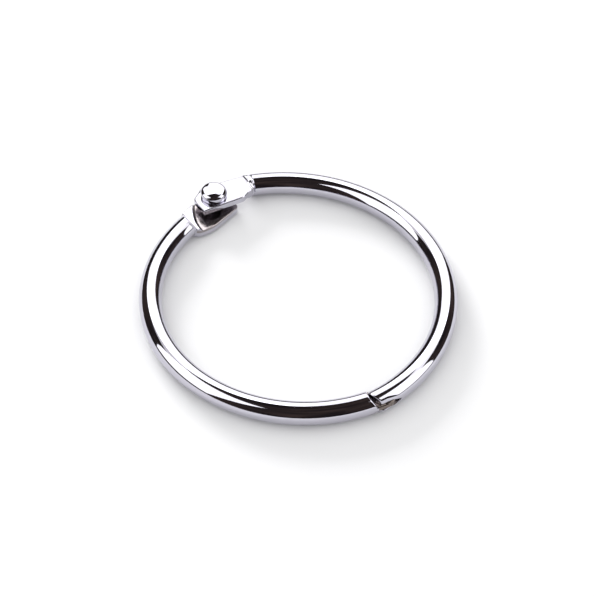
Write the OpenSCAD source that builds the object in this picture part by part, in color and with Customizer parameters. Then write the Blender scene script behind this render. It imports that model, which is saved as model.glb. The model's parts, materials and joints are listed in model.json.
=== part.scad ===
// Hinged binder ring: two bent wire halves, a hinge pin and a snap stud.
// X runs across the ring, Y from the hinge to the clasp, Z up.
// The origin is at the middle of the bounding box, on the surface the ring lies on.

/* [Ring] */
// Diameter of the round wire
wire_d = 2.15; // [1.9:0.05:2.6]
// Clear width inside the closed ring, across the two halves
inner_w = 25.4; // [20:0.2:52]
// How much the left half's bend radius exceeds half the ring's width
left_ease = 0.5; // [0.2:0.05:0.8]
// How much the right half's bend radius exceeds half the ring's width
right_ease = 1.35; // [1:0.05:1.6]
// Sideways offset of the line through hinge and clasp
line_x = -0.25; // [-1:0.05:1]

/* [Hinge] */
// Thickness of the tongue between the two ears
tongue_t = 0.72; // [0.5:0.02:0.9]
// Gap above and below the tongue
layer_gap = 0.06; // [0.05:0.01:0.1]
// Radius of the tongue's round end
tongue_r = 1.04; // [0.85:0.01:1.2]
// Radius of the ears' round ends
ear_r = 1.5; // [1.25:0.05:1.8]
// Gap between the ears and the shoulder they turn in
ear_gap = 0.12; // [0.08:0.02:0.2]
// How far the slot between the ears runs past the hinge axis
slot_run = 1.45; // [1.3:0.05:2]
// Diameter of the hinge pin
pin_d = 0.95; // [0.7:0.05:1.1]
// Clearance round the pin
pin_play = 0.04; // [0.03:0.01:0.06]
// Metal left above the pin's blind hole
pin_cover = 0.3; // [0.2:0.05:0.4]

/* [Clasp] */
// Thickness of each flat tab
tab_t = 0.7; // [0.5:0.05:0.8]
// How far each pressed face lies inside the round of the wire
press_drop = 0.15; // [0.1:0.05:0.25]
// Thickness of the shelf between the wire and the thin tab
shelf_t = 0.98; // [0.9:0.02:1.2]
// Distance from the clasp's middle to the end of a tab
tab_end = 1.93; // [1.6:0.01:2.4]
// Distance from the clasp's middle to where the lower half's wire ends
lower_neck = 3.7; // [3.4:0.05:4.4]
// Distance from the clasp's middle to where the upper half's wire ends
upper_neck = 3.95; // [3.6:0.05:4.6]
// Length of the steep ramp from the wire down to the shelf
ramp_run = 0.5; // [0.3:0.05:0.7]
// Length of the shelf
shelf_run = 0.55; // [0.4:0.05:0.7]
// Reach of the upper tab towards the middle of the ring
upper_in = 1.93; // [1.8:0.01:2.4]
// Reach of the upper tab towards the outside of the ring
upper_out = 1.5; // [1.3:0.05:1.8]
// Reach of the lower tab towards the middle of the ring
lower_in = 2.88; // [2.6:0.01:3.2]
// Reach of the lower tab towards the outside of the ring
lower_out = 1.25; // [1.1:0.05:1.6]

/* [Stud] */
// How far inside the clasp's middle the stud's axis sits
stud_in = 0.14; // [0:0.01:0.3]
// Diameter of the stud's domed head
head_d = 2.58; // [2:0.02:3]
// Height of the head above the upper tab
head_h = 0.88; // [0.7:0.02:1.3]
// Height of the straight rim below the round shoulder
head_rim = 0.2; // [0.1:0.05:0.5]
// Radius of the shoulder above the rim
head_shoulder = 0.85; // [0.8:0.05:1]
// Radius of the low dome on top
head_dome = 2.6; // [2:0.1:4]
// Diameter of the shank riveted through the upper tab
shank_d = 1.2; // [0.9:0.05:1.4]
// Diameter of the tip that snaps into the lower tab
tip_d = 1.0; // [0.8:0.05:1.2]
// Clearance round the tip
tip_play = 0.12; // [0.1:0.02:0.2]
// How far the tip stays above the lower tab's underside
tip_short = 0.06; // [0.04:0.02:0.2]

/* [Hidden] */
$fn = 96;
steel = "gainsboro";
bright = "whitesmoke";
// How far cutting shapes run past the faces they cut
over = 1;
// Segments in each rounded corner of a tab's outline
corner_steps = 8;

wire_r = wire_d / 2;
// Longer than the whole ring, for shapes that cut it from side to side
far = 2 * (inner_w + 4 * wire_d);
half_w = inner_w / 2 + wire_r;
left_bend = half_w + left_ease;
right_bend = half_w + right_ease;
// Angles at the arcs' centres between straight down and the hinge axis
left_turn = asin((left_ease - line_x) / left_bend);
right_turn = asin((line_x + right_ease) / right_bend);
left_rise = left_bend * cos(left_turn);
right_rise = right_bend * cos(right_turn);
// The middle of the clasp is where the two arcs meet
reach = left_rise + right_rise;
hinge_y = (wire_r - reach - upper_out) / 2;
clasp_y = hinge_y + reach;
stud_y = clasp_y - stud_in;

tongue_low = wire_r - tongue_t / 2;
tongue_high = wire_r + tongue_t / 2;
ear_low = tongue_low - layer_gap;
ear_high = tongue_high + layer_gap;
pin_top = wire_d - pin_cover;
pin_hole_r = pin_d / 2 + pin_play;

tab_low = press_drop;
tab_top = press_drop + tab_t;
upper_low = wire_d - tab_top;
upper_top = wire_d - tab_low;
shelf_z = tab_low + shelf_t;
// Where the shelf begins and ends, measured from the neck towards the clasp
ramp_half = ramp_run / 2;
shelf_end = ramp_half + shelf_run;
drop_end = shelf_end + shelf_z - tab_top;

// Points of a polygon whose corners [x, y, radius] are rounded
function corner(a, b, c) =
    let (
        u = [a[0] - b[0], a[1] - b[1]] / norm([a[0] - b[0], a[1] - b[1]]),
        v = [c[0] - b[0], c[1] - b[1]] / norm([c[0] - b[0], c[1] - b[1]]),
        half = acos(u * v) / 2,
        mid = (u + v) / norm(u + v),
        centre = [b[0], b[1]] + mid * b[2] / sin(half),
        turn = sign(u[0] * v[1] - u[1] * v[0]),
        start = atan2(-mid[1], -mid[0]) + turn * (90 - half)
    )
    b[2] == 0
        ? [[b[0], b[1]]]
        : [for (i = [0 : corner_steps])
            let (a = start - turn * (180 - 2 * half) * i / corner_steps)
            centre + b[2] * [cos(a), sin(a)]];

function rounded(p) =
    [for (i = [0 : len(p) - 1])
        each corner(p[(i + len(p) - 1) % len(p)], p[i], p[(i + 1) % len(p)])];

// Round wire bent to the left half's arc, from one angle to another
module left_wire(from, to) {
    translate([left_ease, hinge_y + left_rise, wire_r])
        bent_wire(left_bend, from, to);
}

// Round wire bent to the right half's arc, from one angle to another
module right_wire(from, to) {
    translate([-right_ease, hinge_y + right_rise, wire_r])
        bent_wire(right_bend, from, to);
}

module bent_wire(bend, from, to) {
    rotate_extrude(angle = to - from, start = from)
        translate([bend, 0])
            circle(r = wire_r);
}

// Round post or hole on the hinge axis
module at_hinge(r, low, high) {
    translate([line_x, hinge_y, low])
        cylinder(r = r, h = high - low);
}

// Everything beyond the round ends of the ears
module past_ears() {
    difference() {
        translate([line_x - far, hinge_y - ear_r - over, -over])
            cube([far, 2 * (ear_r + over), wire_d + 2 * over]);
        at_hinge(ear_r, -2 * over, wire_d + 2 * over);
    }
}

// Side view of a pressed end: what the press takes away from the wire
module wire_side(neck) {
    polygon([
        [-neck - ramp_half, -over],
        [-neck - ramp_half, 0],
        [-neck + ramp_half, tab_low],
        [-neck + shelf_end, tab_low],
        [-neck + shelf_end, shelf_z],
        [-neck + ramp_half, shelf_z],
        [-neck - ramp_half, wire_d],
        [-neck - ramp_half, wire_d + over],
        [far, wire_d + over],
        [far, -over]
    ]);
}

// Side view of a pressed end: the shelf and the thin tab
module tab_side(neck) {
    polygon([
        [-neck, tab_low],
        [tab_end + over, tab_low],
        [tab_end + over, tab_top],
        [-neck + drop_end, tab_top],
        [-neck + shelf_end, shelf_z],
        [-neck, shelf_z]
    ]);
}

// Side view, measured from the clasp's middle, swept across the clasp's end of the ring
module swept_side() {
    translate([line_x, far, 0])
        rotate([90, 0, 0])
            linear_extrude(height = far)
                children();
}

// Turns a pressed end over for the other half
module turned_over() {
    translate([0, wire_d])
        rotate(180)
            children();
}

// Lower tab seen from above, about the clasp's middle
module lower_outline() {
    polygon(rounded([
        [-lower_neck - 0.2, -lower_in + 0.6, 0],
        [-lower_neck + 0.7, -lower_in, 1],
        [-tab_end + 0.35, -lower_in, 4],
        [tab_end - 0.15, -lower_in + 1.06, 0.55],
        [tab_end - 0.15, lower_out, 0.9],
        [-tab_end + 1.2, lower_out, 1.5],
        [-lower_neck + 0.3, lower_out - 1.15, 0.6],
        [-lower_neck - 0.2, lower_out - 1.6, 0]
    ]));
}

// Upper tab seen from above, about the clasp's middle
module upper_outline() {
    polygon(rounded([
        [-tab_end + 0.1, -upper_in + 0.41, 0.08],
        [upper_neck - 1.6, -upper_in, 0.9],
        [upper_neck - 0.85, -upper_in + 0.38, 0.8],
        [upper_neck + 0.2, -upper_in + 0.58, 0],
        [upper_neck + 0.2, upper_out - 0.88, 0],
        [2.2, upper_out - 0.45, 6],
        [-0.45, upper_out + 0.045, 0.7],
        [-tab_end, upper_out - 1.05, 0.5]
    ]));
}

// A tab's outline raised to the height of the whole wire
module raised() {
    translate([line_x, clasp_y, -over])
        linear_extrude(height = wire_d + 2 * over)
            children();
}

// Left half: bent wire with the tongue at one end and the lower tab at the other
module left_half() {
    color(steel)
        difference() {
            union() {
                // Wire with a shoulder round each ear and the tongue between them
                difference() {
                    left_wire(90, 270 - left_turn);
                    swept_side() wire_side(lower_neck);
                    at_hinge(ear_r + ear_gap, -over, tongue_low);
                    at_hinge(ear_r + ear_gap, tongue_high, wire_d + over);
                }
                at_hinge(tongue_r, tongue_low, tongue_high);
                // Shelf and thin tab
                intersection() {
                    raised() lower_outline();
                    swept_side() tab_side(lower_neck);
                }
            }
            at_hinge(pin_hole_r, -over, wire_d + over);
            translate([line_x, stud_y, -over])
                cylinder(d = tip_d + 2 * tip_play, h = wire_d + 2 * over);
        }
}

// Right half: bent wire with the two ears at one end and the upper tab at the other
module right_half() {
    color(steel)
        difference() {
            union() {
                // Wire from the ears' round ends to the shelf
                difference() {
                    right_wire(-right_turn - 90, 90);
                    past_ears();
                    swept_side() turned_over() wire_side(upper_neck);
                }
                // Shelf and thin tab
                intersection() {
                    raised() upper_outline();
                    swept_side() turned_over() tab_side(upper_neck);
                }
            }
            // Slot for the tongue
            translate([line_x - ear_r - over, hinge_y - ear_r - over, ear_low])
                cube([ear_r + over + slot_run, 2 * (ear_r + over), ear_high - ear_low]);
            at_hinge(pin_hole_r, -over, pin_top);
            translate([line_x, stud_y, -over])
                cylinder(d = shank_d, h = wire_d + 2 * over);
        }
}

// Stud: domed head, riveted shank and the tip that snaps home
module clasp_stud() {
    head_r = head_d / 2;
    rise = head_h - head_rim;
    tip_low = tab_low + tip_short;
    lead = tip_d / 5;
    color(bright)
        translate([line_x, stud_y, 0])
            rotate_extrude() {
                // Tip with a lead-in cone
                polygon([
                    [0, tip_low],
                    [tip_d / 2 - lead, tip_low],
                    [tip_d / 2, tip_low + lead],
                    [tip_d / 2, upper_low],
                    [shank_d / 2, upper_low],
                    [shank_d / 2, upper_top],
                    [0, upper_top]
                ]);
                translate([0, upper_top])
                    square([head_r, head_rim]);
                // Round shoulder under a low dome
                translate([0, upper_top + head_rim])
                    intersection() {
                        translate([0, rise - head_dome])
                            circle(r = head_dome);
                        translate([head_r - head_shoulder, 0])
                            circle(r = head_shoulder);
                        square([head_r, rise]);
                    }
            }
}

// Hinge pin, finished flush with the underside of the wire
module hinge_pin() {
    color(bright)
        intersection() {
            at_hinge(pin_d / 2, -over, pin_top - pin_play);
            right_wire(-right_turn - 90, 2 * right_turn - 90);
        }
}

left_half();
right_half();
clasp_stud();
hinge_pin();
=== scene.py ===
import json
import math

import bpy
import numpy as np
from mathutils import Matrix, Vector


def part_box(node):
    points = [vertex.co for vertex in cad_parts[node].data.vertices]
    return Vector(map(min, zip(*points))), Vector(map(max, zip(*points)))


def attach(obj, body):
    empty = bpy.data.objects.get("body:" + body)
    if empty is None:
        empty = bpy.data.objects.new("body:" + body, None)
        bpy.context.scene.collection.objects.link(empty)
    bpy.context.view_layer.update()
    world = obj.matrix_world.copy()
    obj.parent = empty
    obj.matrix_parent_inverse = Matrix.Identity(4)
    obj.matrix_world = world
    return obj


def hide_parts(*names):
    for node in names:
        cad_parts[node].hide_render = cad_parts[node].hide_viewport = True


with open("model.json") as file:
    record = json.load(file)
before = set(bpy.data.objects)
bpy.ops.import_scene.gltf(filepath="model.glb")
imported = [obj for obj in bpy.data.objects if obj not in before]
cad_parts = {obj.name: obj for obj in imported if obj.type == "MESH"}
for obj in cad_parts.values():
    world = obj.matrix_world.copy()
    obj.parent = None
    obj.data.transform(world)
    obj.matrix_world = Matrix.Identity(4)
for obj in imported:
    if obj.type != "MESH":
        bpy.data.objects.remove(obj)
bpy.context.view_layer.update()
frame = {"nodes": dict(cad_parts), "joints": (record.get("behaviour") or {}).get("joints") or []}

mm = 0.001

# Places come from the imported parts, in millimetres
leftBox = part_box("left_half")
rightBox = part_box("right_half")
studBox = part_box("clasp_stud")
swing = next(joint for joint in frame["joints"] if joint["name"] == "swing")
wireD = (leftBox[1].z - leftBox[0].z) / mm
wireR = wireD / 2
halfWidth = rightBox[1].x / mm - wireR
hingeX, hingeY = swing["pos_m"][0] / mm, swing["pos_m"][1] / mm
studX = (studBox[0].x + studBox[1].x) / 2 / mm
studY = (studBox[0].y + studBox[1].y) / 2 / mm
studTop = studBox[1].z / mm
print("places read: wire", round(wireD, 3), "half width", round(halfWidth, 3))

# Both halves, millimetres
wire = {
    "leftEase": 0.5,  # how much the left bend's radius exceeds half the width
    "rightEase": 1.35,
    "edge": 0.07,  # radius on pressed and cut edges
    "fineStep": 0.055,  # mesh spacing at clasp and hinge
    "coarseStep": 0.34,  # mesh spacing along the plain wire
    "crossStep": 0.06,  # mesh spacing across the wire
    "heightStep": 0.05,
    "margin": 0.12,  # how far the sampled grid runs past the metal
    "middleStep": 0.14,  # mesh spacing where fine turns to coarse
    "hingePast": 2.1, "hingeFine": 2.6, "hingeMiddle": 3.6,  # where each spacing ends, along the wire
    "claspMiddle": 6.2, "claspFine": 5.2, "claspPast": 2.4,
    "nearClasp": 7,  # how far from the clasp's middle its shapes can reach
}
hinge = {
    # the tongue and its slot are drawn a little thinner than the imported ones
    "tongueThick": 0.64, "tongueR": 1.04, "earR": 1.5, "earGap": 0.08,
    "slotHalf": 0.35, "slotR": 1.47, "slotTaperFrom": 0.3, "slotTaperTo": 1.3,
    "pinHoleR": 0.515, "pinHoleTop": 1.85, "holeEdge": 0.04, "edge": 0.1, "shoulderEdge": 0.2,
    "slantX": -0.863, "slantY": -0.505, "slant": 1.2,  # flat that trims the ears' outer corner
    "slantEdge": 0.3,  # slantX, slantY and flatY, flatZ are the directions the flats face
    "flatY": -0.966, "flatZ": 0.259, "flat": 0.96, "flatFade": 0.13,  # flat on the front of the ears
    "flatEdge": 0.12, "flatReach": 1.2,
    "paintedShadeR": 1.58, "paintedShadeHalf": 0.45,  # painted shade: darker brownish, duller metal on and round the tongue, inside the slot between the ears
}
clasp = {
    "studIn": 0.14,  # how far inside the clasp's middle the stud sits
    "tabThick": 0.7, "pressDrop": 0.15, "shelfThick": 0.98, "tabEnd": 1.93,
    "lowerNeck": 3.7, "upperNeck": 3.95, "rampRun": 0.5, "shelfRun": 0.55,
    "upperIn": 1.93, "upperOut": 1.5, "lowerIn": 2.88, "lowerOut": 1.25,
    "tipHoleR": 0.62, "holeEdge": 0.04, "shankR": 0.6, "shankEdge": 0.02,
    "backEdge": 0.2,  # larger radius where the press left the round of the wire
    "fillet": 0.06,
    "dropCurve": 0.1,  # how fast the shelf's edge bends away from the neck
    "dropStart": -2.7,
    "tilt": -0.1,  # slope of the lower tab down towards the middle of the ring
    "tiltFrom": -1.25, "tiltSoft": 0.4,
    "crease": 0.11, "creaseLift": 0.06, "creaseEdge": 0.05,  # creases the press leaves at the ramps
    "upperEdge": 0.12,
    "paintedShadeLow": 0.8, "paintedShadeTop": 1.06, "paintedShadeAmount": 0.7,  # painted shade: the top of the lower tab, under the upper tab, is made darker brownish and duller
}
claspY = studY + clasp["studIn"]


def arcOf(side, ease):
    # centre x, centre y and radius of the arc one half is bent to
    bend = halfWidth + ease
    x = -side * ease
    return x, hingeY + math.sqrt(bend ** 2 - (x - hingeX) ** 2), bend


leftArc = arcOf(-1, wire["leftEase"])
rightArc = arcOf(1, wire["rightEase"])


def roundMeet(a, b, r):
    # distance to what lies in both, outer edge rounded
    u, v = np.maximum(a + r, 0), np.maximum(b + r, 0)
    return np.minimum(-r, np.maximum(a, b)) + np.hypot(u, v)


def roundJoin(a, b, r):
    # distance to what lies in either, inner corner filled
    u, v = np.maximum(r - a, 0), np.maximum(r - b, 0)
    return np.maximum(r, np.minimum(a, b)) - np.hypot(u, v)


def polygonDistance(x, y, points):
    near = np.full(np.shape(x), 1e9)
    inside = np.zeros(np.shape(x), bool)
    for (ax, ay), (bx, by) in zip(points, points[1:] + points[:1]):
        ex, ey = bx - ax, by - ay
        t = np.clip(((x - ax) * ex + (y - ay) * ey) / (ex * ex + ey * ey), 0, 1)
        near = np.minimum(near, (x - ax - t * ex) ** 2 + (y - ay - t * ey) ** 2)
        if ay != by:
            inside ^= ((ay > y) != (by > y)) & (x < (y - ay) * ex / ey + ax)
    return np.where(inside, -1, 1) * np.sqrt(near)


def roundedOutline(corners, steps=8):
    # corners are x, y, radius
    points = []
    for i, (x, y, r) in enumerate(corners):
        if r == 0:
            points.append((x, y))
            continue
        a = np.array(corners[i - 1][:2]) - (x, y)
        b = np.array(corners[(i + 1) % len(corners)][:2]) - (x, y)
        a, b = a / np.hypot(*a), b / np.hypot(*b)
        half = math.acos(float(a @ b)) / 2
        middle = (a + b) / np.hypot(*(a + b))
        centre = np.array((x, y)) + middle * r / math.sin(half)
        turn = math.copysign(1, a[0] * b[1] - a[1] * b[0])
        start = math.atan2(-middle[1], -middle[0]) + turn * (math.pi / 2 - half)
        for k in range(steps + 1):
            angle = start - turn * (math.pi - 2 * half) * k / steps
            points.append((centre[0] + r * math.cos(angle), centre[1] + r * math.sin(angle)))
    return points


def easeIn(value, width):
    # zero below zero, then rises with slope one after a soft start
    soft = np.clip(value, 0, width)
    return soft ** 2 / (2 * width) + np.maximum(value - width, 0)


def bentWire(p, arc):
    across = np.hypot(p[:, 0] - arc[0], p[:, 1] - arc[1]) - arc[2]
    return np.hypot(across, p[:, 2] - wireR) - wireR


def post(p, x, y, r):
    return np.hypot(p[:, 0] - x, p[:, 1] - y) - r


def pressedEnd(p, arc, outline, neck, turned):
    # the round wire pressed down a ramp to a shelf, and on to the thin tab
    low, top = clasp["pressDrop"], clasp["pressDrop"] + clasp["tabThick"]
    shelf = low + clasp["shelfThick"]
    rampHalf = clasp["rampRun"] / 2
    foot, head = neck - rampHalf, neck + rampHalf
    edge = foot - clasp["shelfRun"]
    clear = 3.0  # the profiles run this far past the metal
    upper = clear / (wireD - shelf) * clasp["rampRun"]
    lower = clear / low * clasp["rampRun"]
    wireSide = [
        (-40, -clear), (-head - lower, -clear), (-foot, low),
        (-foot, shelf), (-head - upper, wireD + clear), (-40, wireD + clear),
    ]
    metal = bentWire(p, arc)
    near = np.flatnonzero(post(p, hingeX, claspY, wire["nearClasp"]) < 0)
    x, y, z = p[near, 0] - hingeX, p[near, 1] - claspY, p[near, 2]
    slide = edge - 3.1 + clasp["dropCurve"] * np.maximum(y - clasp["dropStart"], 0) ** 2
    drop = shelf - top
    if turned:
        along, up, slide = -x, wireD - z, 0
    else:
        along, up = x, z + clasp["tilt"] * easeIn(clasp["tiltFrom"] - y, clasp["tiltSoft"])
    tabSide = [
        (-neck - 1, low - 1), (9, low - 1), (9, top),
        (-edge + drop, top), (-edge, shelf), (-neck - 1, shelf),
    ]
    flat = polygonDistance(along - slide, up, tabSide)
    flat = np.maximum(flat, np.maximum(low - up, -neck - along))
    seen = polygonDistance(x, y, outline)
    soft = (clasp["upperEdge"] if turned else wire["edge"]) + clasp["backEdge"] * np.clip(y, 0, 1)
    flat = roundMeet(seen, flat, soft)
    rod = roundMeet(metal[near], polygonDistance(along, wireD - z if turned else z, wireSide), wire["edge"])
    rod = roundMeet(rod, np.minimum(seen, along + neck - 0.1), wire["edge"])
    both = roundJoin(rod, flat, clasp["fillet"])
    # creases pressed across the metal at the foot and head of the ramp
    if turned:
        beside = np.minimum(np.abs(x - foot - 0.04 * y), np.abs(x - head - 0.1 - 0.27 * y))
    else:
        beside = np.abs(x + foot)
    crease = np.hypot(beside, both - clasp["creaseLift"])
    creased = roundMeet(both, clasp["crease"] - crease, clasp["creaseEdge"])
    metal[near] = np.where(z > wireR, creased, both)
    return metal


lowerNeck, upperNeck, tabEnd = clasp["lowerNeck"], clasp["upperNeck"], clasp["tabEnd"]
lowerIn, lowerOut = clasp["lowerIn"], clasp["lowerOut"]
upperIn, upperOut = clasp["upperIn"], clasp["upperOut"]
lowerOutline = roundedOutline([
    (-lowerNeck - 0.2, -lowerIn + 0.6, 0), (-lowerNeck + 0.7, -lowerIn, 1), (-tabEnd + 0.35, -lowerIn, 4),
    (tabEnd - 0.15, -lowerIn + 1.06, 0.55), (tabEnd - 0.15, lowerOut, 0.9), (-tabEnd + 1.2, lowerOut, 1.5),
    (-lowerNeck + 0.3, lowerOut - 1.15, 0.6), (-lowerNeck - 0.2, lowerOut - 1.6, 0),
])
upperOutline = roundedOutline([
    (-tabEnd + 0.1, -upperIn + 0.41, 0.08), (upperNeck - 1.6, -upperIn, 0.9),
    (upperNeck - 0.85, -upperIn + 0.38, 0.8), (upperNeck + 0.2, -upperIn + 0.58, 0),
    (upperNeck + 0.2, upperOut - 0.88, 0), (2.2, upperOut - 0.45, 6),
    (-0.45, upperOut + 0.045, 0.7), (-tabEnd, upperOut - 1.05, 0.5),
])


def leftMetal(p):
    metal = pressedEnd(p, leftArc, lowerOutline, lowerNeck, False)
    metal = roundMeet(metal, -post(p, studX, studY, clasp["tipHoleR"]), clasp["holeEdge"])
    # a round shoulder stops the wire above and below the tongue
    layer = np.abs(p[:, 2] - wireR) - hinge["tongueThick"] / 2
    past = np.where(p[:, 1] < 0, p[:, 0] - hingeX, -1.0)
    cut = np.maximum(post(p, hingeX, hingeY, hinge["earR"] + hinge["earGap"]), -layer)
    metal = roundMeet(np.maximum(metal, past), -cut, hinge["shoulderEdge"])
    tongue = roundMeet(post(p, hingeX, hingeY, hinge["tongueR"]), layer, wire["edge"])
    pinHole = post(p, hingeX, hingeY, hinge["pinHoleR"])
    return roundMeet(np.minimum(metal, tongue), -pinHole, hinge["holeEdge"])


def rightMetal(p):
    metal = pressedEnd(p, rightArc, upperOutline, upperNeck, True)
    metal = roundMeet(metal, -post(p, studX, studY, clasp["shankR"]), clasp["shankEdge"])
    lower = p[:, 1] < 0
    slant = (p[:, 0] - hingeX) * hinge["slantX"] + (p[:, 1] - hingeY) * hinge["slantY"] - hinge["slant"]
    ears = roundMeet(post(p, hingeX, hingeY, hinge["earR"]), slant, hinge["slantEdge"])
    ears = np.minimum(hingeX - p[:, 0], ears)
    limit = hinge["flat"] + hinge["flatFade"] * np.clip((p[:, 0] - hingeX + 0.2) / 1.2, 0, 1)
    front = (p[:, 1] - hingeY) * hinge["flatY"] + (p[:, 2] - wireR) * hinge["flatZ"] - limit
    flattened = lower & (p[:, 0] < hingeX + hinge["flatReach"])
    metal = np.where(flattened, roundMeet(metal, front, hinge["flatEdge"]), metal)
    metal = np.where(lower, roundMeet(metal, ears, hinge["edge"]), metal)
    # the slot is as high as the tongue needs, then thins out to a crevice
    x = p[:, 0] - hingeX
    reach = np.clip((x - hinge["slotTaperFrom"]) / (hinge["slotTaperTo"] - hinge["slotTaperFrom"]), 0, 1)
    level = np.abs(p[:, 2] - wireR) - hinge["slotHalf"] * (1 - reach)
    slot = np.maximum(level, np.minimum(post(p, hingeX, hingeY, hinge["slotR"]), x))
    metal = np.where(lower, roundMeet(metal, -slot, wire["edge"]), metal)
    hole = np.maximum(post(p, hingeX, hingeY, hinge["pinHoleR"]), p[:, 2] - hinge["pinHoleTop"])
    return roundMeet(metal, -hole, hinge["holeEdge"])


def leftPaintedShade(p):
    # how much shade is painted on the plate, with raised roughness: fully on the tongue inside the hinge
    # slot, partly on the thin tab under the upper tab
    # painted shade on the lower tab's top under the upper tab; it also reaches the top of the tab's side
    # wall, where it shows as a light beige line kept as an edge highlight
    tab = (p[:, 0] - hingeX > -3.4) & (p[:, 1] > claspY - 3.2)
    tab &= (p[:, 2] > clasp["paintedShadeLow"]) & (p[:, 2] < clasp["paintedShadeTop"])
    # painted shade on the tongue and the shoulder faces round it, inside the slot between the ears
    tongue = (post(p, hingeX, hingeY, hinge["paintedShadeR"]) < 0) & (np.abs(p[:, 2] - wireR) < hinge["paintedShadeHalf"])
    return tab * clasp["paintedShadeAmount"] + tongue * 1.0


def rightPaintedShade(p):
    # no shade is painted on the right half
    return np.zeros(len(p))


def steps(spans):
    # spans are start, end, spacing
    values = [np.linspace(a, b, max(2, round((b - a) / step) + 1))[:-1] for a, b, step in spans]
    return np.append(np.concatenate(values), spans[-1][1])


def surfaceMesh(name, metal, paintedShade, arc, along, across, height):
    # samples the distance on a grid bent along the wire, and lays one point in each cell it crosses
    theta = along[:, None, None]
    radius = arc[2] + across[None, :, None]
    shape = (len(along), len(across), len(height))
    grid = np.stack(np.broadcast_arrays(
        arc[0] + radius * np.cos(theta), arc[1] + radius * np.sin(theta), height[None, None, :]
    ), -1).reshape(-1, 3)
    value = metal(grid).reshape(shape)
    grid = grid.reshape(shape + (3,))
    inside = value < 0
    cells = tuple(n - 1 for n in shape)
    total, count = np.zeros(cells + (3,)), np.zeros(cells)
    for axis in range(3):
        a = [slice(None)] * 3
        b = [slice(None)] * 3
        a[axis], b[axis] = slice(0, -1), slice(1, None)
        a, b = tuple(a), tuple(b)
        crosses = inside[a] != inside[b]
        share = value[a] / np.where(crosses, value[a] - value[b], 1)
        place = np.where(crosses[..., None], grid[a] + share[..., None] * (grid[b] - grid[a]), 0)
        others = [k for k in range(3) if k != axis]
        for i in (0, 1):
            for j in (0, 1):
                s = [slice(None)] * 3
                s[others[0]] = slice(i, i + cells[others[0]])
                s[others[1]] = slice(j, j + cells[others[1]])
                total += place[tuple(s)]
                count += crosses[tuple(s)]
    used = count > 0
    index = np.full(cells, -1)
    index[used] = np.arange(used.sum())
    points = total[used] / count[used][:, None]
    faces = []
    for axis in range(3):
        u, v = [k for k in range(3) if k != axis]
        a = [slice(1, -1)] * 3
        b = [slice(1, -1)] * 3
        a[axis], b[axis] = slice(0, -1), slice(1, None)
        before, after = inside[tuple(a)], inside[tuple(b)]
        crosses = np.argwhere(before != after)
        enters = after[tuple(crosses.T)]
        crosses[:, u] += 1
        crosses[:, v] += 1
        corners = []
        for i, j in ((-1, -1), (0, -1), (0, 0), (-1, 0)):
            cell = crosses.copy()
            cell[:, u] += i
            cell[:, v] += j
            corners.append(index[tuple(cell.T)])
        corners = np.stack(corners, 1)
        flip = enters if axis != 1 else ~enters
        corners[flip] = corners[flip][:, ::-1]
        faces.append(corners)
    faces = np.concatenate(faces)
    small = 0.003  # the slope is measured across this distance

    def slope(p):
        return np.stack([
            metal(p + small * unit) - metal(p - small * unit) for unit in np.eye(3)
        ], 1) / (2 * small)

    # four short moves bring the points closer to the surface
    for _ in range(4):
        g = slope(points)
        move = metal(points)[:, None] * g / np.maximum((g * g).sum(1), 0.2)[:, None]
        points -= np.clip(move, -0.02, 0.02)
    normals = slope(points)
    normals /= np.maximum(np.linalg.norm(normals, axis=1), 1e-9)[:, None]
    # the arc may run either way round, so the faces together say which side is out
    a, b, c = (points[faces[:, k]] for k in range(3))
    if (np.cross(b - a, c - a) * normals[faces[:, 0]]).sum() < 0:
        faces = faces[:, ::-1]
    mesh = bpy.data.meshes.new(name)
    mesh.from_pydata((points * mm).tolist(), [], faces.tolist())
    mesh.polygons.foreach_set("use_smooth", [True] * len(mesh.polygons))
    mesh.normals_split_custom_set_from_vertices(normals.tolist())
    # the attribute marks where shade is painted, darker and duller
    mesh.attributes.new("paintedShade", "FLOAT", "POINT").data.foreach_set("value", paintedShade(points).astype(np.float32))
    piece = bpy.data.objects.new(name, mesh)
    bpy.context.scene.collection.objects.link(piece)
    print("built", name, len(faces), "faces")
    return piece


def makeHalf(name, side, arc, metal, paintedShade, inner, outer):
    # arc length runs from the hinge axis towards the clasp
    start = -math.acos((hingeX - arc[0]) / arc[2])
    end = math.acos((hingeX - arc[0]) / arc[2])
    if side < 0:
        start += 2 * math.pi
    length = abs(end - start) * arc[2]
    fine, middle, coarse = wire["fineStep"], wire["middleStep"], wire["coarseStep"]
    spans = [
        (-wire["hingePast"], wire["hingeFine"], fine),
        (wire["hingeFine"], wire["hingeMiddle"], middle),
        (wire["hingeMiddle"], length - wire["claspMiddle"], coarse),
        (length - wire["claspMiddle"], length - wire["claspFine"], middle),
        (length - wire["claspFine"], length + wire["claspPast"], fine),
    ]
    along = start + side * steps(spans) / arc[2]
    across = steps([(-inner, outer, wire["crossStep"])])
    height = steps([(-wire["margin"], wireD + wire["margin"], wire["heightStep"])])
    return surfaceMesh(name, metal, paintedShade, arc, along, across, height)


# the last two are how far each half reaches inside and outside its bend
leftPiece = makeHalf("left_wire", -1, leftArc, leftMetal, leftPaintedShade, 2.5, 2.5)
rightPiece = makeHalf("right_wire", 1, rightArc, rightMetal, rightPaintedShade, 3.4, 1.6)

# Stud, millimetres
stud = {
    "headR": 1.29, "rim": 0.21, "rimEdge": 0.12, "shoulder": 0.45,
    "tipR": 0.5, "tipLow": 0.21, "lead": 0.2, "segments": 128, "lift": 0.001,
}


def arcPoints(cx, cz, r, a0, a1, n):
    # part of a circle in the profile, degrees from the radius axis
    angles = [math.radians(a0 + (a1 - a0) * i / n) for i in range(n + 1)]
    return [(cx + r * math.cos(a), cz + r * math.sin(a)) for a in angles]


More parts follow.
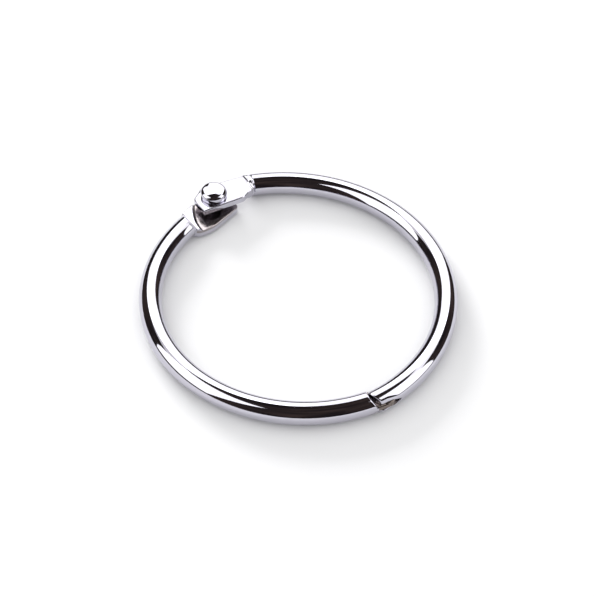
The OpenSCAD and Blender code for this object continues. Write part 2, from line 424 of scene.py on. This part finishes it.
def studProfile():
    s = stud
    tabTop = wireD - clasp["pressDrop"]
    tabLow = tabTop - clasp["tabThick"] - 0.02
    seat = tabTop + s["lift"]
    # the dome touches the shoulder's circle without a corner
    r, h = s["headR"], s["shoulder"]
    cx, cz = r - h, seat + s["rimEdge"] + s["rim"]
    rise = studTop - cz
    dome = (cx * cx + rise * rise - h * h) / (2 * (rise - h))
    angle = math.degrees(math.atan2(cz - studTop + dome, cx))
    points = [(0, s["tipLow"]), (s["tipR"] - s["lead"], s["tipLow"])]
    points += [(s["tipR"], s["tipLow"] + s["lead"]), (s["tipR"], tabLow)]
    points += [(clasp["shankR"], tabLow), (clasp["shankR"], seat), (r - s["rimEdge"] - 0.05, seat)]
    points += arcPoints(r - s["rimEdge"], seat + s["rimEdge"], s["rimEdge"], -90, 0, 8)
    points += arcPoints(cx, cz, h, 0, angle, 16)
    points += arcPoints(0, studTop - dome, dome, angle, 90, 24)[1:]
    return points


def lathe(name, profile, x, y, segments):
    # profile is radius, height, from the lowest point on the axis to the highest
    turn = np.linspace(0, 2 * math.pi, segments, endpoint=False)
    body = profile[1:-1]
    points = [(x, y, profile[0][1])]
    for r, z in body:
        points += [(x + r * math.cos(t), y + r * math.sin(t), z) for t in turn]
    points.append((x, y, profile[-1][1]))
    last, top = len(points) - 1, 1 + (len(body) - 1) * segments
    faces = []
    for k in range(segments):
        n = (k + 1) % segments
        faces.append((0, 1 + n, 1 + k))
        for i in range(len(body) - 1):
            a, b = 1 + i * segments, 1 + (i + 1) * segments
            faces.append((a + k, a + n, b + n, b + k))
        faces.append((top + k, top + n, last))
    mesh = bpy.data.meshes.new(name)
    mesh.from_pydata([tuple(c * mm for c in p) for p in points], [], faces)
    mesh.polygons.foreach_set("use_smooth", [True] * len(mesh.polygons))
    piece = bpy.data.objects.new(name, mesh)
    bpy.context.scene.collection.objects.link(piece)
    print("built", name, len(faces), "faces")
    return piece


studPiece = lathe("stud_button", studProfile(), studX, studY, stud["segments"])


def srgb(code):
    # hex to linear
    values = [int(code[i:i + 2], 16) / 255 for i in (1, 3, 5)]
    return tuple(v / 12.92 if v <= 0.04045 else ((v + 0.055) / 1.055) ** 2.4 for v in values) + (1,)


def addNode(tree, kind, settings=None, links=None):
    node = tree.nodes.new(kind)
    for key, value in (settings or {}).items():
        if isinstance(key, int) or key in node.inputs:
            node.inputs[key].default_value = value
        else:
            setattr(node, key, value)
    for key, source in (links or {}).items():
        tree.links.new(source, node.inputs[key])
    return node


nickel = {
    "colour": "#C6C4CE", "roughness": 0.045, "waveMm": 0.8, "waveDepthMm": 0.0018,
    # colour and roughness where shade is painted: a dark brownish stand-in for shadow and dark reflection
    "paintedShadeColour": "#857A74", "paintedShadeRoughness": 0.22,
    "grainMm": 0.2, "grainDepthMm": 0.015,  # a bump only where shade is painted, coarser than real grain so that it shows
}


def nickelPlate(name):
    # bright nickel plate on drawn wire: a mirror with faint slow waves, and painted shade, dark brownish
    # and duller, where the mesh's mask says
    material = bpy.data.materials.new(name)
    material.use_nodes = True
    tree = material.node_tree
    tree.nodes.clear()
    place = addNode(tree, "ShaderNodeTexCoord")
    paintedShade = addNode(tree, "ShaderNodeAttribute", {"attribute_name": "paintedShade"})
    wave = addNode(
        tree, "ShaderNodeTexNoise",
        {"Scale": 1 / (nickel["waveMm"] * mm), "Detail": 3.0, "Roughness": 0.55},
        {"Vector": place.outputs["Object"]},
    )
    grain = addNode(
        tree, "ShaderNodeTexNoise",
        {"Scale": 1 / (nickel["grainMm"] * mm), "Detail": 2.0},
        {"Vector": place.outputs["Object"]},
    )
    deep = addNode(
        tree, "ShaderNodeMath", {"operation": "MULTIPLY"},
        {0: grain.outputs["Fac"], 1: paintedShade.outputs["Fac"]},
    )
    slow = addNode(
        tree, "ShaderNodeBump", {"Distance": nickel["waveDepthMm"] * mm}, {"Height": wave.outputs["Fac"]},
    )
    fast = addNode(
        tree, "ShaderNodeBump", {"Distance": nickel["grainDepthMm"] * mm},
        {"Height": deep.outputs[0], "Normal": slow.outputs["Normal"]},
    )
    rough = addNode(
        tree, "ShaderNodeMapRange",
        {"To Min": nickel["roughness"], "To Max": nickel["paintedShadeRoughness"]}, {"Value": paintedShade.outputs["Fac"]},
    )
    # painted shade: the colour turns dark brownish where the mask is set
    tint = addNode(
        tree, "ShaderNodeMix",
        {"data_type": "RGBA", 6: srgb(nickel["colour"]), 7: srgb(nickel["paintedShadeColour"])},
        {0: paintedShade.outputs["Fac"]},
    )
    shader = addNode(
        tree, "ShaderNodeBsdfPrincipled", {"Metallic": 1.0},
        {"Base Color": tint.outputs[2], "Roughness": rough.outputs[0], "Normal": fast.outputs["Normal"]},
    )
    addNode(tree, "ShaderNodeOutputMaterial", None, {"Surface": shader.outputs["BSDF"]})
    return material


plate = nickelPlate("bright_nickel_plate")
pin = frame["nodes"]["hinge_pin"]
pin.data.materials.clear()
for piece in (leftPiece, rightPiece, studPiece, pin):
    piece.data.materials.append(plate)

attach(leftPiece, "left")
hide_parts("left_half")
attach(rightPiece, "right")
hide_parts("right_half")
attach(studPiece, "right")
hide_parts("clasp_stud")
print("materials set")

# Directions are degrees: right of straight away from the camera, and up from the floor
studio = {
    "azimuth": -32.8, "elevation": 47.4, "distance": 0.192, "lens": 125.2, "lookAhead": 14.185,
    "boxDistance": 0.5, "floorHalf": 1.4, "floorColour": "#E6E6E7",
    "sky": 1.1, "dark": "#201C1E", "dim": "#453A36",
}


def direction(right, up):
    a, r, u = (math.radians(v) for v in (studio["azimuth"], right, up))
    return Vector((
        math.cos(u) * math.sin(r - a), math.cos(u) * math.cos(r - a), math.sin(u)
    ))


camera = bpy.data.cameras.new("camera")
camera.lens = studio["lens"]
camera.clip_start, camera.clip_end = 0.01, 5
viewer = bpy.data.objects.new("camera", camera)
bpy.context.scene.collection.objects.link(viewer)
back = direction(180, studio["elevation"])
viewer.location = Vector((hingeX, hingeY + studio["lookAhead"], wireR)) * mm + back * studio["distance"]
viewer.rotation_mode = "QUATERNION"
viewer.rotation_quaternion = (-back).to_track_quat("-Z", "Y")
bpy.context.scene.camera = viewer

# right, up, width and height in degrees, radiance
keyBox = (-28, 18, 26, 18, 24)  # the one lamp that casts the ring's shadow on the floor
softboxes = {
    "left_box": (-101, 40, 46, 58, 1.95),
    "right_box": (100.5, 33, 30, 56, 1.95),
    "back_box": (12, 38, 44, 48, 1.95),
    "back_box_left": (-20, 46, 22, 32, 1.95),
    "left_link": (-54, 53, 44, 14, 0.9),
    "right_link": (62, 51, 48, 13, 1.6),
}


def softbox(name, right, up, wide, high, radiance):
    # a rectangular lamp that the camera itself doesn't see
    d = studio["boxDistance"]
    light = bpy.data.lights.new(name, "AREA")
    light.shape = "RECTANGLE"
    light.size = 2 * d * math.tan(math.radians(wide / 2))
    light.size_y = 2 * d * math.tan(math.radians(high / 2))
    light.energy = radiance * math.pi * light.size * light.size_y
    lamp = bpy.data.objects.new(name, light)
    bpy.context.scene.collection.objects.link(lamp)
    lamp.location = direction(right, up) * d
    lamp.rotation_mode = "QUATERNION"
    lamp.rotation_quaternion = direction(right, up).to_track_quat("Z", "Y")
    lamp.visible_camera = False
    return lamp


# the softboxes show only as reflections in the metal, and the key lamp lights only what is matt
for name, values in softboxes.items():
    softbox(name, *values).visible_diffuse = False
key = softbox("key", *keyBox)
key.visible_glossy = False

half = studio["floorHalf"]
floorMesh = bpy.data.meshes.new("floor")
corners = [(-half, -half, 0), (half, -half, 0), (half, half, 0), (-half, half, 0)]
floorMesh.from_pydata(corners, [], [(0, 1, 2, 3)])
floor = bpy.data.objects.new("floor", floorMesh)
bpy.context.scene.collection.objects.link(floor)
paper = bpy.data.materials.new("matt_white_paper")
paper.use_nodes = True
tree = paper.node_tree
tree.nodes.clear()
# matt paper: pale, no gloss
matt = addNode(tree, "ShaderNodeBsdfDiffuse", {"Color": srgb(studio["floorColour"])})
addNode(tree, "ShaderNodeOutputMaterial", None, {"Surface": matt.outputs["BSDF"]})
floorMesh.materials.append(paper)

# pale all round, but the metal sees a dim room with slightly uneven walls
world = bpy.data.worlds.new("studio")
bpy.context.scene.world = world
world.use_nodes = True
tree = world.node_tree
tree.nodes.clear()
path = addNode(tree, "ShaderNodeLightPath")
toward = addNode(tree, "ShaderNodeTexCoord")
uneven = addNode(
    tree, "ShaderNodeTexNoise", {"Scale": 2.4, "Detail": 4.0}, {"Vector": toward.outputs["Generated"]},
)
spread = addNode(
    tree, "ShaderNodeMapRange", {"From Min": 0.4, "From Max": 0.7}, {"Value": uneven.outputs["Fac"]},
)
walls = addNode(
    tree, "ShaderNodeMix", {"data_type": "RGBA", 6: srgb(studio["dark"]), 7: srgb(studio["dim"])},
    {0: spread.outputs[0]},
)
dark = addNode(tree, "ShaderNodeBackground", None, {"Color": walls.outputs[2]})
pale = addNode(tree, "ShaderNodeBackground", {"Color": (1, 1, 1, 1), "Strength": studio["sky"]})
white = addNode(tree, "ShaderNodeBackground", {"Color": (1, 1, 1, 1), "Strength": 1.0})
seen = addNode(
    tree, "ShaderNodeMixShader", None,
    {0: path.outputs["Is Glossy Ray"], 1: pale.outputs[0], 2: dark.outputs[0]},
)
mixed = addNode(
    tree, "ShaderNodeMixShader", None,
    {0: path.outputs["Is Camera Ray"], 1: seen.outputs[0], 2: white.outputs[0]},
)
addNode(tree, "ShaderNodeOutputWorld", None, {"Surface": mixed.outputs[0]})
bpy.context.scene.view_settings.view_transform = "Standard"
print("stage set")
